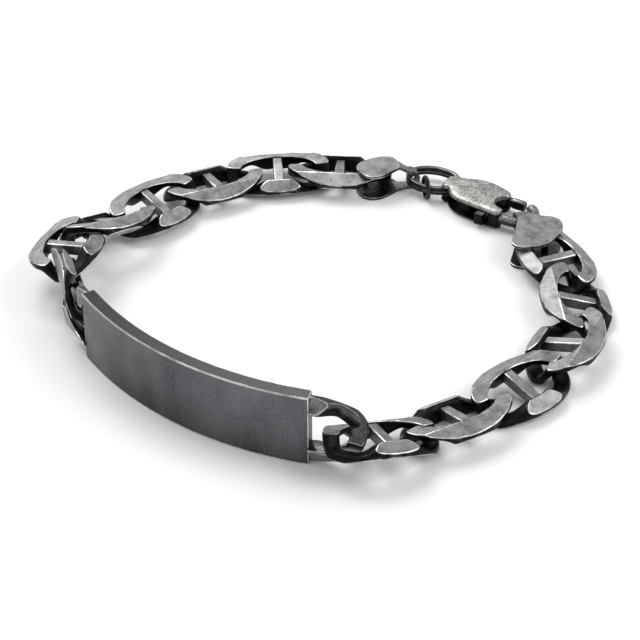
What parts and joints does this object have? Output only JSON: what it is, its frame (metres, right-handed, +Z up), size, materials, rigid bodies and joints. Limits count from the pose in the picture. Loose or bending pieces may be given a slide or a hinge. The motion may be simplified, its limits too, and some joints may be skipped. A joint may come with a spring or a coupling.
{
  "type": "id bracelet",
  "caption": "Curved name-plate bracelet of flat twisted mariner links, closed by a lobster clasp and lying as a loop on its plate's long edge.",
  "frame": {"origin": "middle of the closed loop, on the table that it lies on", "axes": "+Z up from the table, -Y towards the viewer and the name plate, +X to the viewer's right"},
  "size_m": [0.0778, 0.0735, 0.01],
  "materials": {
    "plate_silver": "satin, blackened face with bright worn edges",
    "chain_silver": "filed facets, blackened in the recesses, bright on the edges",
    "tag_silver": "satin sheet",
    "ring_silver": "drawn wire, blackened between its turns",
    "clasp_silver": "tumbled satin",
    "lever_silver": "blackened, rubbed bright on the knob"
  },
  "bodies": {
    "bracelet": {"id_plate": "plate_silver", "link_l1": "chain_silver", "link_l2": "chain_silver", "link_l3": "chain_silver", "link_l4": "chain_silver", "link_l5": "chain_silver", "link_l6": "chain_silver", "link_l7": "chain_silver", "link_r1": "chain_silver", "link_r2": "chain_silver", "link_r3": "chain_silver", "link_r4": "chain_silver", "link_r5": "chain_silver", "link_r6": "chain_silver", "tag_left": "tag_silver", "tag_right": "tag_silver", "ring_big": "ring_silver", "ring_small": "ring_silver", "clasp_body": "clasp_silver", "clasp_pin": "clasp_silver"},
    "lever": {"clasp_lever": "lever_silver"}
  },
  "joints": [
    {"name": "lever_hinge", "type": "hinge", "parent": "bracelet", "child": "lever", "pos_m": [0.02649, 0.02516, 0.0015], "axis": [0, 0, -1], "range_deg": [0, 20], "stiffness_Nm_per_rad": 0.01, "springref_deg": -11.46}
  ]
}
